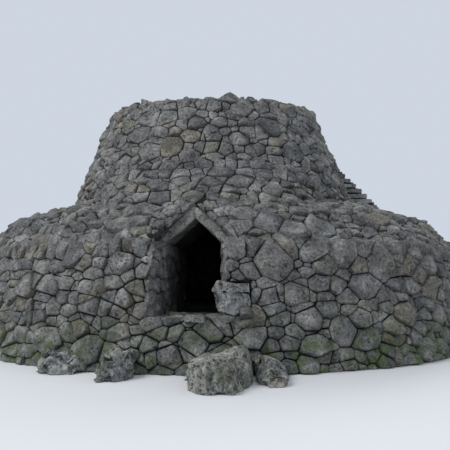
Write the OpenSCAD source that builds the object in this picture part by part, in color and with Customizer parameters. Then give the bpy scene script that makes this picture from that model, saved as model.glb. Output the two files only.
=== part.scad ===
// Dry-stone trullo house: a battered upper tier over a wider lower tier,
// a corbelled chamber inside, a gabled slab doorway and a winding stair.
// Millimetres, Z up, the doorway faces -Y, the ground lies at Z 0.

/* [Upper tier] */
// Height of the wall head above the ground
head_z = 5500; // [5400:20:5800]
// Outer radius at the wall head
head_r = 2500; // [2450:10:2700]
// Outward batter of the face for each unit of height
batter = 0.365; // [0.33:0.005:0.4]
// Fall of the worn front rim for each unit towards the front
rim_fall = 0.17; // [0.05:0.01:0.18]
// Height of the ring of loose crown stones
crown_h = 140; // [80:10:220]
// Width of the ring of loose crown stones
crown_w = 420; // [300:10:520]
// Distance of the crown stones from the edge of the wall head
crown_back = 40; // [20:5:80]

/* [Lower tier] */
// Radius of the lower tier at its foot
foot_r = 6200; // [6050:10:6400]
// Radius of the lower tier at its crest
crest_r = 5850; // [5750:10:5950]
// Height of the crest
crest_z = 1960; // [1850:10:2050]
// Radius where the shoulder meets the upper slope of the terrace
shoulder_r = 5300; // [5200:10:5450]
// Height of the shoulder
shoulder_z = 2580; // [2520:10:2640]
// Radius where the terrace reaches its highest course
terrace_r = 4000; // [3950:10:4200]
// Height of the terrace at its highest course
terrace_z = 3050; // [2950:10:3120]
// Sideways shift of the lower tier from the chamber axis
tier_x = 100; // [0:10:200]
// Backward shift of the lower tier from the chamber axis
tier_y = 1200; // [1000:20:1300]

/* [Doorway] */
// Clear width between the jambs
door_w = 940; // [850:10:1050]
// Height of the threshold above the ground
sill_z = 780; // [700:10:850]
// Height of the springing of the gable slabs
spring_z = 1990; // [1940:10:2040]
// Height of the gable apex
apex_z = 2435; // [2380:5:2500]
// Thickness of a gable slab
slab_t = 175; // [150:5:220]
// Bearing of a gable slab past the jamb, along its slope
slab_bearing = 130; // [80:10:180]
// Distance of the outer slab face from the chamber axis
slab_face = 4050; // [3980:10:4120]
// Depth of each gable slab along the passage
slab_d = 700; // [640:10:720]
// Thickness of the threshold slab
sill_t = 130; // [100:5:180]
// Bearing of the threshold slab under each jamb
sill_bearing = 100; // [60:10:160]
// Distance the block at the right jamb reaches into the opening
block_reach = 115; // [60:10:150]
// Width of the block from the jamb into the wall
block_w = 470; // [400:10:560]
// Depth of the block from the wall face inwards
block_d = 650; // [560:10:700]
// Height of the block over the threshold
block_h = 560; // [480:10:640]
// Distance from the foot line of the front wall back to the face of the block
block_back = 50; // [20:10:120]
// Splay of the left reveal at the mouth
splay_left = 430; // [300:10:480]
// Splay of the right reveal at the mouth
splay_right = 240; // [150:10:300]

/* [Chamber] */
// Radius of the chamber at its floor
room_r = 2000; // [1900:10:2050]
// Height at which the corbelling begins
corbel_z = 1500; // [1400:10:1600]
// Radius of the eye under the cap slab
eye_r = 350; // [300:10:400]
// Exponent of the vault curve
vault_p = 1.7; // [1.5:0.05:2]
// Number of corbel courses
courses = 12; // [10:1:13]
// Thickness of the corbelled shell
shell_t = 450; // [380:10:480]
// Thickness of the cap slab
cap_t = 150; // [120:5:180]
// Radius of the cap slab
cap_r = 620; // [560:10:660]
// Height where the lower and the upper shell courses part
shell_split_z = 2800; // [2780:10:2860]
// Thickness of the beaten floor
floor_t = 100; // [60:5:140]
// Depth of the earth and stone cover over the cap slab
cover_t = 550; // [450:10:620]
// Drop of the cover below the wall head
cover_drop = 50; // [20:10:100]
// Height below the eye where the shell starts to thin
haunch_h = 400; // [300:10:500]
// Thinning of the shell at the eye
haunch_thin = 100; // [60:10:140]

/* [Stair] */
// Number of treads
treads = 14; // [12:1:14]
// Rise of a tread
rise = 175; // [165:1:180]
// Turn of each tread round the axis in degrees
turn_angle = 3; // [2.8:0.1:3.4]
// Direction of the first tread in degrees from +X
stair_start_angle = -2; // [-6:1:2]
// Width of the stair beyond the face
stair_w = 700; // [600:10:800]
// Thickness of a tread slab
tread_t = 110; // [90:5:130]
// Distance a tread slab stands out past its core
nosing = 40; // [20:5:80]

/* [Footing rocks] */
// Depth to which a footing rock is bedded in the wall
rock_bed = 350; // [250:10:450]
// Middle of the centre rock, from the chamber axis
rock_centre_x = 480; // [380:10:560]
// Width of the centre rock
rock_centre_w = 860; // [760:10:960]
// Distance the centre rock stands out from the foot of the wall
rock_centre_out = 1200; // [1000:10:1300]
// Height of the centre rock
rock_centre_h = 600; // [520:10:660]
// Middle of the right rock
rock_right_x = 1230; // [1180:10:1400]
// Width of the right rock
rock_right_w = 480; // [400:10:520]
// Distance the right rock stands out from the foot of the wall
rock_right_out = 850; // [700:10:950]
// Height of the right rock
rock_right_h = 420; // [340:10:480]
// Middle of the left rock, towards -X
rock_left_x = 1000; // [950:10:1050]
// Width of the left rock
rock_left_w = 620; // [540:10:700]
// Distance the left rock stands out from the foot of the wall
rock_left_out = 650; // [500:10:750]
// Height of the left rock
rock_left_h = 430; // [360:10:500]
// Middle of the far left rock, towards -X
rock_far_x = 1900; // [1850:10:2100]
// Width of the far left rock
rock_far_w = 760; // [680:10:860]
// Distance the far left rock stands out from the foot of the wall
rock_far_out = 500; // [400:10:600]
// Height of the far left rock
rock_far_h = 480; // [400:10:540]

/* [Hidden] */
$fn = 72;
fine = 216;
big = 20000;
hw = door_w / 2;
eye_z = head_z - cover_t - cap_t;
function cone_r(z) = head_r + (head_z - z) * batter;
function vault_r(z) = z <= corbel_z ? room_r
  : eye_r + (room_r - eye_r) * (1 - pow((z - corbel_z) / (eye_z - corbel_z), vault_p));
course_h = (eye_z - corbel_z) / courses;
slope = atan2(apex_z - spring_z, hw);
tier_top_z = terrace_z + 1;
mouth_end = foot_r - tier_y + 720;
tread_low = floor(treads / 2);

// a turned sector between two directions
module sector(a0, a1, n = fine) {
  rotate([0, 0, a0]) rotate_extrude(angle = a1 - a0, $fn = n) children();
}

// the solid of the upper tier without its hollow
module cone_mass(from_z, to_z) {
  translate([0, 0, from_z]) cylinder(h = to_z - from_z, r1 = cone_r(from_z), r2 = cone_r(to_z), $fn = fine);
}

// everything above the worn front rim
module above_rim() {
  translate([0, 0, head_z]) rotate([atan(rim_fall), 0, 0])
    translate([-big / 2, -big, 0]) cube([big, big, big]);
}

// section of the corbelled shell between two heights, stepped inside
module shell_section(z0, z1) {
  intersection() {
    translate([0, z0]) square([room_r + shell_t + 100, z1 - z0]);
    polygon(concat(
      [[room_r + shell_t, 0], [room_r, 0], [room_r, corbel_z]],
      [for (i = [0:courses - 1]) each [
        [vault_r(corbel_z + (i + 0.5) * course_h), corbel_z + i * course_h],
        [vault_r(corbel_z + (i + 0.5) * course_h), corbel_z + (i + 1) * course_h]]],
      shell_back()));
  }
}

// back line of the shell, from the top down
function shell_back() = [
  [vault_r(eye_z - haunch_h) + shell_t - haunch_thin, eye_z],
  [vault_r(shell_split_z) + shell_t, shell_split_z],
  [room_r + shell_t, corbel_z]];

// the room taken out of the upper tier for the shell and the chamber
module shell_mass() {
  rotate_extrude() polygon(concat([[0, 0], [0, eye_z]], shell_back(), [[room_r + shell_t, 0]]));
}

// foot and back of the right gable slab, from its underside up to the peak
function slab_points() = [
  [hw + slab_bearing * cos(slope), spring_z - slab_bearing * sin(slope)],
  [hw + slab_bearing * cos(slope) + slab_t * sin(slope),
    spring_z - slab_bearing * sin(slope) + slab_t * cos(slope)],
  [0, apex_z + slab_t / cos(slope)]];

// outline of the right gable slab
module slab_outline() {
  polygon(concat([[0, apex_z]], slab_points()));
}

// outline of the opening with the beds of both slabs
module gable_outline() {
  p = slab_points();
  polygon([
    [-hw, sill_z], [hw, sill_z], [hw, spring_z], p[0], p[1], p[2],
    [-p[1][0], p[1][1]], [-p[0][0], p[0][1]], [-hw, spring_z]]);
}

// a prism along the passage, between two distances from the axis
module along(front, back) {
  translate([0, -back, 0]) rotate([90, 0, 0]) linear_extrude(front - back) children();
}

// the clear opening of the passage
module passage() {
  along(mouth_end, 0)
    polygon([[-hw, sill_z], [hw, sill_z], [hw, spring_z], [0, apex_z], [-hw, spring_z]]);
}

// the passage with the beds of its slabs
module door_void() {
  passage();
  along(slab_face, slab_face - 3 * slab_d) gable_outline();
  translate([-hw - sill_bearing, -slab_face, sill_z - sill_t])
    cube([door_w + 2 * sill_bearing, slab_d, sill_t]);
}

// the splayed mouth cut through the lower tier before the door
module mouth() {
  translate([0, 0, sill_z]) linear_extrude(spring_z - sill_z) polygon([
    [-hw, -slab_face + slab_d], [-hw, -slab_face],
    [-hw - splay_left, -mouth_end], [hw + splay_right, -mouth_end],
    [hw, -slab_face], [hw, -slab_face + slab_d]]);
  along(mouth_end, slab_face - 200) gable_outline();
}

// profile of the lower tier, wall face and sloping terrace
module tier_profile() {
  polygon([[0, 0], [foot_r, 0], [crest_r, crest_z], [shoulder_r, shoulder_z],
    [terrace_r, terrace_z], [0, tier_top_z]]);
}

module lower_wall(a0, a1, n = fine) {
  difference() {
    translate([tier_x, tier_y, 0]) sector(a0, a1, n) tier_profile();
    cone_mass(0, tier_top_z + shell_t);
    mouth();
    door_void();
    right_jamb_solid();
    stair_ring(tread_a(0), tread_a(treads), shoulder_z, tier_top_z + 100, 300);
  }
}

// what lies on one side of the plane through the middle of the door
module door_side(sign) {
  intersection() {
    children();
    translate([sign < 0 ? -big : 0, -big, 0]) cube([big, 2 * big, big]);
  }
}

module upper_wall(a0, a1, z0) {
  difference() {
    sector(a0, a1) polygon([[0, z0], [cone_r(z0), z0], [head_r, head_z], [0, head_z]]);
    shell_mass();
    roof_room();
    above_rim();
    door_void();
  }
}

module shell(a0, a1, z0, z1) {
  difference() {
    sector(a0, a1, 72) shell_section(z0, z1);
    door_void();
  }
}

// room for the cap slab, the fill over it and the cover of the roof
module roof_room() {
  translate([0, 0, eye_z - 1]) cylinder(h = big, r = cap_r, $fn = 72);
  translate([0, 0, eye_z + cap_t]) cylinder(h = big, r = head_r - crown_w);
}

module right_jamb_solid() {
  front = tier_y - foot_r + block_back;
  back = front + block_d;
  left = hw - block_reach;
  right = hw + block_w;
  mid = (left + right) / 2;
  translate([0, 0, sill_z]) linear_extrude(block_h) polygon([
    [left, front + 0.1 * block_d], [left + 15, back - 0.2 * block_d], [mid - 0.1 * block_w, back],
    [right - 0.1 * block_w, back - 0.1 * block_d], [right, front + 0.25 * block_d],
    [mid, front]]);
}

function tread_z(i) = terrace_z + (i + 1) * rise;
function tread_a(i) = stair_start_angle + i * turn_angle;

module tread(i) {
  z = tread_z(i);
  z0 = z - tread_t;
  a = tread_a(i);
  sector(a, a + turn_angle) polygon([
    [cone_r(z0), z0], [cone_r(z0) + stair_w + nosing, z0],
    [cone_r(z0) + stair_w + nosing, z], [cone_r(z), z]]);
}

module tread_solids(i0, i1) {
  for (i = [i0:i1]) tread(i);
}

// the ring beside the upper tier that carries the stair, battered like the face
module stair_ring(a0, a1, z0, z1, inset = 0) {
  sector(a0, a1) polygon([
    [cone_r(z0) - inset, z0], [cone_r(z0) + stair_w, z0],
    [cone_r(z1) + stair_w, z1], [cone_r(z1) - inset, z1]]);
}

// all that lies above a height between two directions
module wedge(a0, a1, z) {
  translate([0, 0, z]) linear_extrude(big) polygon([
    [0, 0], [big * cos(a0), big * sin(a0)], [big * cos(a1), big * sin(a1)]]);
}

// the rubble core under the treads, stepped like them
module core_solid(i0, i1) {
  difference() {
    stair_ring(tread_a(i0), tread_a(i1 + 1), shoulder_z, tread_z(i1) - tread_t);
    for (i = [i0:i1 - 1]) wedge(tread_a(i0) - turn_angle, tread_a(i + 1), tread_z(i) - tread_t);
  }
}

module lower_wall_front_right() {
  color("lightgray") door_side(1) lower_wall(-95, -45, 360);
}
module lower_wall_right() { color("silver") lower_wall(-45, 0); }
module lower_wall_right_back() { color("lightgray") lower_wall(0, 45); }
module lower_wall_back_right() { color("silver") lower_wall(45, 90); }
module lower_wall_back_left() { color("lightgray") lower_wall(90, 135); }
module lower_wall_left_back() { color("silver") lower_wall(135, 180); }
module lower_wall_left() { color("lightgray") lower_wall(180, 225); }
module lower_wall_front_left() {
  color("silver") door_side(-1) lower_wall(225, 275, 360);
}

module wall_over_door() { color("gainsboro") upper_wall(-110, -70, spring_z); }
module beside(a0, a1) {
  difference() {
    sector(a0, a1) polygon([[0, 0], [cone_r(0), 0], [cone_r(spring_z), spring_z], [0, spring_z]]);
    shell_mass();
    door_void();
    right_jamb_solid();
  }
}
module wall_beside_door_left() { color("lightgray") beside(-110, -90); }
module wall_beside_door_right() { color("silver") beside(-90, -70); }

module upper_wall_front_right() { color("silver") upper_wall(-70, 0, 0); }
module upper_wall_right_back() { color("gainsboro") upper_wall(0, 45, 0); }
module upper_wall_back_right() { color("silver") upper_wall(45, 90, 0); }
module upper_wall_back_left() { color("gainsboro") upper_wall(90, 135, 0); }
module upper_wall_left_back() { color("silver") upper_wall(135, 180, 0); }
module upper_wall_front_left() { color("gainsboro") upper_wall(180, 250, 0); }

module shell_low_front_right() { color("tan") shell(-90, 0, 0, shell_split_z); }
module shell_low_back_right() { color("burlywood") shell(0, 90, 0, shell_split_z); }
module shell_low_back_left() { color("tan") shell(90, 180, 0, shell_split_z); }
module shell_low_front_left() { color("burlywood") shell(180, 270, 0, shell_split_z); }
module shell_high_front_right() { color("burlywood") shell(-90, 0, shell_split_z, eye_z); }
module shell_high_back_right() { color("tan") shell(0, 90, shell_split_z, eye_z); }
module shell_high_back_left() { color("burlywood") shell(90, 180, shell_split_z, eye_z); }
module shell_high_front_left() { color("tan") shell(180, 270, shell_split_z, eye_z); }

module cap_slab() { color("gray") translate([0, 0, eye_z]) cylinder(h = cap_t, r = cap_r); }

module roof_cover() {
  color("darkkhaki") difference() {
    translate([0, 0, eye_z + cap_t]) cylinder(h = cover_t - cover_drop, r = head_r - crown_w);
    above_rim();
  }
}

module crown(a0, a1) {
  difference() {
    translate([0, 0, head_z]) sector(a0, a1)
      translate([head_r - crown_w, 0]) square([crown_w - crown_back, crown_h]);
    above_rim();
  }
}
module crown_right() { color("dimgray") crown(0, 90); }
module crown_left() { color("gray") crown(90, 180); }

module slab_at(k) {
  along(slab_face - k * slab_d, slab_face - (k + 1) * slab_d) slab_outline();
}
module gable_slab_outer_left() { color("slategray") mirror([1, 0, 0]) slab_at(0); }
module gable_slab_outer_right() { color("lightslategray") slab_at(0); }
module gable_slab_middle_left() { color("slategray") mirror([1, 0, 0]) slab_at(1); }
module gable_slab_middle_right() { color("lightslategray") slab_at(1); }
module gable_slab_inner_left() { color("slategray") mirror([1, 0, 0]) slab_at(2); }
module gable_slab_inner_right() { color("lightslategray") slab_at(2); }

module threshold_slab() {
  color("gray") translate([-hw - sill_bearing, -slab_face, sill_z - sill_t])
    cube([door_w + 2 * sill_bearing, slab_d, sill_t]);
}
module right_jamb_block() { color("gray") right_jamb_solid(); }
module floor_fill() { color("peru") cylinder(h = sill_z - floor_t, r = room_r); }
module chamber_floor() {
  color("sienna") translate([0, 0, sill_z - floor_t]) cylinder(h = floor_t, r = room_r);
}

module stair_core_low() { color("darkgray") core_solid(0, tread_low - 1); }
module stair_core_high() { color("silver") core_solid(tread_low, treads - 1); }
module stair_treads_low() { color("gray") tread_solids(0, tread_low - 1); }
module stair_treads_high() { color("gray") tread_solids(tread_low, treads - 1); }

// the foot line of the front wall at a distance from the chamber axis
function foot_y(x) = tier_y - sqrt(foot_r * foot_r - (x - tier_x) * (x - tier_x));

// a rock of the footing, bedded in the foot of the wall and standing out from it
module rock(x, w, out, h) {
  d = out + rock_bed;
  difference() {
    translate([x, foot_y(x) - out + d / 2, 0]) intersection() {
      linear_extrude(h) polygon([
        [-0.5 * w, 0.5 * d], [-0.47 * w, -0.2 * d], [-0.22 * w, -0.5 * d],
        [0.3 * w, -0.46 * d], [0.5 * w, -0.05 * d], [0.44 * w, 0.5 * d]]);
      translate([0, d, 0]) rotate([90, 0, 0]) linear_extrude(2 * d) polygon([
        [-0.5 * w, 0], [-0.44 * w, 0.62 * h], [-0.24 * w, 0.92 * h], [0.12 * w, h],
        [0.36 * w, 0.84 * h], [0.48 * w, 0.4 * h], [0.5 * w, 0]]);
      translate([-w, 0, 0]) rotate([90, 0, 90]) linear_extrude(2 * w) polygon([
        [-0.5 * d, 0], [-0.45 * d, 0.5 * h], [-0.22 * d, 0.9 * h], [0.1 * d, h],
        [0.5 * d, 0.86 * h], [0.5 * d, 0]]);
    }
    translate([tier_x, tier_y, 0]) sector(225, 315, 480) tier_profile();
    cone_mass(0, tier_top_z);
  }
}
module foot_rock_centre() {
  color("dimgray") rock(rock_centre_x, rock_centre_w, rock_centre_out, rock_centre_h);
}
module foot_rock_right() {
  color("gray") rock(rock_right_x, rock_right_w, rock_right_out, rock_right_h);
}
module foot_rock_left() {
  color("dimgray") rock(-rock_left_x, rock_left_w, rock_left_out, rock_left_h);
}
module foot_rock_far_left() {
  color("gray") rock(-rock_far_x, rock_far_w, rock_far_out, rock_far_h);
}

lower_wall_front_right();
lower_wall_right();
lower_wall_right_back();
lower_wall_back_right();
lower_wall_back_left();
lower_wall_left_back();
lower_wall_left();
lower_wall_front_left();
wall_over_door();
wall_beside_door_left();
wall_beside_door_right();
upper_wall_front_right();
upper_wall_right_back();
upper_wall_back_right();
upper_wall_back_left();
upper_wall_left_back();
upper_wall_front_left();
shell_low_front_right();
shell_low_back_right();
shell_low_back_left();
shell_low_front_left();
shell_high_front_right();
shell_high_back_right();
shell_high_back_left();
shell_high_front_left();
cap_slab();
roof_cover();
crown_right();
crown_left();
gable_slab_outer_left();
gable_slab_outer_right();
gable_slab_middle_left();
gable_slab_middle_right();
gable_slab_inner_left();
gable_slab_inner_right();
threshold_slab();
right_jamb_block();
floor_fill();
chamber_floor();
stair_core_low();
stair_core_high();
stair_treads_low();
stair_treads_high();
foot_rock_centre();
foot_rock_right();
foot_rock_left();
foot_rock_far_left();
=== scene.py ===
import math
import random
import bmesh
import bpy
import numpy as np
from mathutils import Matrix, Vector


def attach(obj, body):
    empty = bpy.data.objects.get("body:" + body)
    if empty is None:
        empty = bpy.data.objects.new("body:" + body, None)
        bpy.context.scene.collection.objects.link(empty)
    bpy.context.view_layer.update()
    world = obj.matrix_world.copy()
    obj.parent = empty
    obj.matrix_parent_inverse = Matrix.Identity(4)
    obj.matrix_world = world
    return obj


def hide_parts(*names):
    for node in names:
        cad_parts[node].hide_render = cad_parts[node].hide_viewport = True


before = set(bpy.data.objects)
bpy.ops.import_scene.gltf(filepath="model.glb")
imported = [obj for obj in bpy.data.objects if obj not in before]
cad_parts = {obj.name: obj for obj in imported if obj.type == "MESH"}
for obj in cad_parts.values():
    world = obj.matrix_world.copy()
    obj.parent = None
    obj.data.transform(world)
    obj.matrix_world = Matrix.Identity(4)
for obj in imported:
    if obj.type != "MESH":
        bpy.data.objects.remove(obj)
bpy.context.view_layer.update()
rng = random.Random(41)

# The stones lie on the solids, so the sizes of those are repeated here, in metres and degrees.
# The chamber axis is at x = y = 0, the doorway faces -Y, and heights are above the ground.

# Upper tier: its head, how far its face leans in per metre, the fall of its front rim per metre
HEAD_Z = 5.5
HEAD_R = 2.5
BATTER = 0.365
RIM_FALL = 0.17
CROWN_H = 0.14

# Lower tier: its centre, and the corners of its outline from the foot up to the terrace
TIER_X = 0.1
TIER_Y = 1.2
FOOT_R = 6.2
CREST_R = 5.85
CREST_Z = 1.96
SHOULDER_R = 5.3
SHOULDER_Z = 2.58
TERRACE_R = 4.0
TERRACE_Z = 3.05
PROFILE = [(FOOT_R, 0.0), (CREST_R, CREST_Z), (SHOULDER_R, SHOULDER_Z), (TERRACE_R, TERRACE_Z)]

# Doorway: half its width, its heights, its slabs, and the splayed mouth before its face
DOOR_HALF = 0.47
SILL = 0.78
SPRING = 1.99
APEX = 2.435
SLAB_T = 0.175
SLAB_BEARING = 0.13
DOOR_FACE = 4.05
MOUTH_DEPTH = 1.67
SPLAY_LEFT = 0.43
SPLAY_RIGHT = 0.24
SLOPE = math.atan2(APEX - SPRING, DOOR_HALF)
SLOPE_C = math.cos(SLOPE)
SLOPE_S = math.sin(SLOPE)
RIDGE_Z = APEX + SLAB_T / SLOPE_C
PASSAGE_END = 1.95

# Block at the right jamb
BLOCK_X0 = 0.355
BLOCK_X1 = 0.94
BLOCK_Y = -4.3
BLOCK_Z = 1.34

# Stair: angle of its start, turn of a tread, and its other sizes
STAIR_START = -2.0
TREAD_TURN = 3.0
TREADS = 14
RISE = 0.175
STAIR_W = 0.70
TREAD_T = 0.11
STAIR_END = STAIR_START + TREAD_TURN * TREADS
END_C = math.cos(math.radians(STAIR_END))
END_S = math.sin(math.radians(STAIR_END))

# Chamber: its radius, where the vault springs, the vault's height and the radius of its eye
ROOM_R = 2.0
VAULT_Z = 1.5
VAULT_H = 3.3
EYE_R = 0.35

# Over the doorway the upper wall runs out, by FLARE_OUT for each metre below FLARE_Z: from FLARE_EDGE
# degrees off the front, in full FLARE_BLEND degrees nearer, and within FLARE_FLAT degrees up to FLARE_Y.
FLARE_Z = 3.7
FLARE_OUT = 0.49
FLARE_EDGE = 44.0
FLARE_BLEND = 26.0
FLARE_FLAT = 14
FLARE_Y = 4.04

FULL_TURN = 2 * math.pi
UP = np.array([0.0, 0.0, 1.0])
DOWN = np.array([0.0, 0.0, -1.0])
BACKWARDS = np.array([0.0, 1.0, 0.0])
FORWARDS = np.array([0.0, -1.0, 0.0])


def at(value, x):
    """A value that is a number, or a function of x."""
    return value(x) if callable(value) else value


def fade(x, start, length):
    """0 before start, 1 past start + length, and a straight line between."""
    return min(max((x - start) / length, 0.0), 1.0)


def around(r, a, z, x=0.0, y=0.0):
    """The point at radius r, angle a and height z round the centre x, y."""
    return np.array([x + r * math.cos(a), y + r * math.sin(a), z])


def sideways(a):
    """The level direction along a round wall at the angle a."""
    return np.array([-math.sin(a), math.cos(a), 0.0])


def cone_r(z):
    """Radius of the upper tier's solid face."""
    return HEAD_R + (HEAD_Z - z) * BATTER


def rim_z(y):
    """Height of the upper tier's rim."""
    return HEAD_Z + min(y, 0.0) * RIM_FALL


def rim_r(a):
    """Radius of the upper tier's rim at an angle."""
    return cone_r(rim_z((HEAD_R + 0.05) * math.sin(a)))


def rim_normal(y):
    """Upright direction of the rim's top face."""
    n = np.array([0, -RIM_FALL if y < 0 else 0.0, 1.0])
    return n / np.linalg.norm(n)


def tier_rho(o):
    """Distance of a point from the lower tier's centre, in plan."""
    return math.hypot(o[0] - TIER_X, o[1] - TIER_Y)


def terrace_z(rho):
    """Height of the lower tier at a distance from its centre."""
    if rho <= TERRACE_R:
        return TERRACE_Z
    corners = PROFILE[::-1]
    for (r0, z0), (r1, z1) in zip(corners, corners[1:]):
        if rho <= r1:
            return z0 + (z1 - z0) * (rho - r0) / (r1 - r0)
    return 0.0


def wrapped(a):
    """An angle in degrees, brought between -180 and 180."""
    return (a + 180.0) % 360.0 - 180.0


def tread_at(o):
    """Number of the tread at a point's side of the tier, or None where there is no stair."""
    a = wrapped(math.degrees(math.atan2(o[1], o[0])))
    return int((a - STAIR_START) / TREAD_TURN) if STAIR_START < a < STAIR_END else None


def tread_z(i):
    """Height of a tread's top."""
    return TERRACE_Z + (i + 1) * RISE


# Noise that roughens every stone: a sum of waves in random directions
WAVES = 14
wave_ways = np.array([[rng.uniform(-1, 1) for _ in range(3)] for _ in range(WAVES)])
wave_ways /= np.linalg.norm(wave_ways, axis=1)[:, None]
wave_rates = np.array([rng.uniform(7, 34) for _ in range(WAVES)])
wave_starts = np.array([rng.uniform(0, 6.28) for _ in range(WAVES)])
wave_heights = 7.0 / wave_rates
wave_heights /= wave_heights.sum()


def wobble(p):
    """Smooth noise at the points p, mostly between -1 and 1."""
    return (np.sin(p @ (wave_ways * wave_rates[:, None]).T + wave_starts) * wave_heights).sum(-1) * 1.7


# Pieces and piles of stones
def new_piece(name, verts, faces, material, smooth=True, sharp=27):
    """A piece of the part, with edges over sharp degrees kept crisp."""
    me = bpy.data.meshes.new(name)
    me.from_pydata(verts.tolist(), [], faces)
    me.materials.append(material)
    if smooth:
        me.polygons.foreach_set("use_smooth", [True] * len(me.polygons))
    me.update()
    me.set_sharp_from_angle(angle=math.radians(sharp))
    ob = bpy.data.objects.new(name, me)
    bpy.context.scene.collection.objects.link(ob)
    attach(ob, "root")
    return ob


class Pile:
    """Stones gathered into one mesh, kept above the ground and, where top is given, below top."""

    def __init__(self, top=None):
        self.verts, self.faces, self.count, self.top = [], [], 0, top

    def add(self, verts, faces):
        self.verts.append(verts)
        self.faces.append(faces + self.count)
        self.count += len(verts)

    def build(self, name, material, slot, smooth=True):
        verts = np.concatenate(self.verts)
        verts[:, 2] = np.clip(verts[:, 2], 0.0, self.top)
        new_piece(name, verts, np.concatenate(self.faces).tolist(), material, smooth)


class Halves:
    """Stones gathered into a front and a back mesh."""

    def __init__(self):
        self.front, self.back = Pile(), Pile()

    def add(self, verts, faces):
        (self.front if verts[:, 1].mean() < TIER_Y else self.back).add(verts, faces)

    def build(self, name, material, slot):
        self.front.build(name + "_front", material, slot)
        self.back.build(name + "_back", material, slot)


# One stone: rings of N points from its buried foot up to its face
N = 16
BAND = np.array([[i, (i + 1) % N, (i + 1) % N + N] for i in range(N)]
                + [[i, (i + 1) % N + N, i + N] for i in range(N)])


def shape(levels):
    """The rings of a stone, as shares of its outline and height, and its faces."""
    top = (len(levels) - 1) * N
    lid = np.array([[top + i, top + (i + 1) % N, top + N] for i in range(N)])
    return levels, np.concatenate([BAND + k * N for k in range(len(levels) - 1)] + [lid])


FINE = shape([(1.0, -0.5), (1.01, 0.6), (0.965, 0.88), (0.88, 0.99), (0.6, 1.0), (0.28, 1.0)])
PLAIN = shape([(1.0, -0.5), (1.0, 0.7), (0.88, 0.98), (0.5, 1.0)])
# the share of the height that chips leave at each ring above the foot
LEAST_HEIGHT = (0.16, 0.3, 0.42, 0.5, 0.55)
CHIPS = 4


def clip(poly, a, b, c):
    """The part of a polygon where a x + b y <= c."""
    out = []
    for p, q in zip(poly, poly[1:] + poly[:1]):
        dp = a * p[0] + b * p[1] - c
        dq = a * q[0] + b * q[1] - c
        if dp <= 0:
            out.append(p)
        if (dp < 0 < dq) or (dq < 0 < dp):
            k = dp / (dp - dq)
            out.append((p[0] + (q[0] - p[0]) * k, p[1] + (q[1] - p[1]) * k))
    return out


def outline(poly, cut):
    """N points round a polygon, its corners blunted by the length cut, or None if it is too small."""
    corners = np.array(poly)
    corners = corners[np.hypot(*(np.roll(corners, -1, 0) - corners).T) > 0.02]
    if len(corners) < 3:
        return None
    points = []
    for i, corner in enumerate(corners):
        for other in (corners[i - 1], corners[(i + 1) % len(corners)]):
            way = other - corner
            points.append(corner + way * min(0.3, cut / float(np.hypot(*way))))

    def gaps():
        return [float(np.hypot(*(points[(i + 1) % len(points)] - points[i]))) for i in range(len(points))]

    while len(points) > N:
        lengths = gaps()
        i = lengths.index(min(lengths))
        j = (i + 1) % len(points)
        points[i] = (points[i] + points[j]) / 2
        points.pop(j)
    while len(points) < N:
        lengths = gaps()
        i = lengths.index(max(lengths))
        points.insert(i + 1, (points[i] + points[(i + 1) % len(points)]) / 2)
    return np.array(points)


def stone(pile, poly, o, t, u, n, height, rough=1.0):
    """One stone on the plane at o, its outline poly in the t, u axes and its face at height along n."""
    rim = outline(poly, rng.uniform(0.008, 0.026))
    if rim is None:
        return
    middle = rim.mean(0)
    arms = rim - middle
    reach = np.abs(arms).max()
    tilt_t = rng.uniform(-0.24, 0.24)
    tilt_u = rng.uniform(-0.32, 0.14)
    chips = []
    for _ in range(CHIPS):
        a = rng.uniform(0, 6.28)
        chips.append((math.cos(a), math.sin(a), rng.uniform(-0.1, 0.6), rng.uniform(0.25, 0.9)))
    # fine stones outside and towards the front, plain ones behind and in the chamber
    seen = o[1] < TIER_Y + 0.5 and math.hypot(o[0], o[1]) > ROOM_R + 0.1
    levels, faces = FINE if seen else PLAIN
    rings = []
    for k, (share, rise) in enumerate(levels):
        r = arms * share
        z = rise * height + ((r[:, 0] * tilt_t + r[:, 1] * tilt_u) if k > 1 else 0.0)
        if k > 0:
            for chip_t, chip_u, start, steepness in chips:
                z = z - np.maximum(r[:, 0] * chip_t + r[:, 1] * chip_u - start * reach, 0) * steepness
            z = np.maximum(z, height * LEAST_HEIGHT[k - 1])
        rings.append(np.column_stack([r + middle, np.broadcast_to(z, (N,)).astype(float)]))
    rings.append(np.array([[middle[0], middle[1], rings[-1][:, 2].mean()]]))
    p = np.concatenate(rings)
    v = o + p[:, :1] * t + p[:, 1:2] * u + p[:, 2:3] * n
    seed = np.array([rng.uniform(0, 40) for _ in range(3)])
    amount = min(height * 0.42, 0.034) * rough
    shake = np.stack([wobble(v + seed), wobble(v + seed + 11.3), wobble(v + seed + 23.7)], 1)
    swell = wobble(v * 0.6 + seed) * amount * 0.6 + wobble(v * 2.1 + seed) * amount * 0.45
    pile.add(v + shake * amount * 0.42 + n[None] * swell[:, None], faces)


# Laying: each stone fills the cell between its seed and the seeds around it
REACH = 3.2
NEIGHBOURS = 22
LEAST_AREA = 0.0015
LEAST_WIDTH = 0.015


def weight(seed, big):
    """How far a stone pushes its neighbours back; a share big of the stones are large."""
    if len(seed) > 3:
        return seed[3]
    return (0.85 if rng.random() < big else rng.uniform(-0.4, 0.36)) * seed[2] ** 2


def cell(dx, dy, push, size, gap):
    """Outline of a stone whose neighbours are at dx, dy and are pushed back by push."""
    far = np.hypot(dx, dy)
    h = size * 2.0
    poly = [(-h, -h), (h, -h), (h, h), (-h, h)]
    for j in np.argsort(far)[:NEIGHBOURS]:
        if far[j] < 1e-6 or far[j] > REACH * size:
            continue
        share = 0.5 + 0.5 * push[j] / far[j] ** 2
        poly = clip(poly, dx[j] / far[j], dy[j] / far[j], far[j] * share - gap)
        if len(poly) < 3:
            break
    return poly


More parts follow.
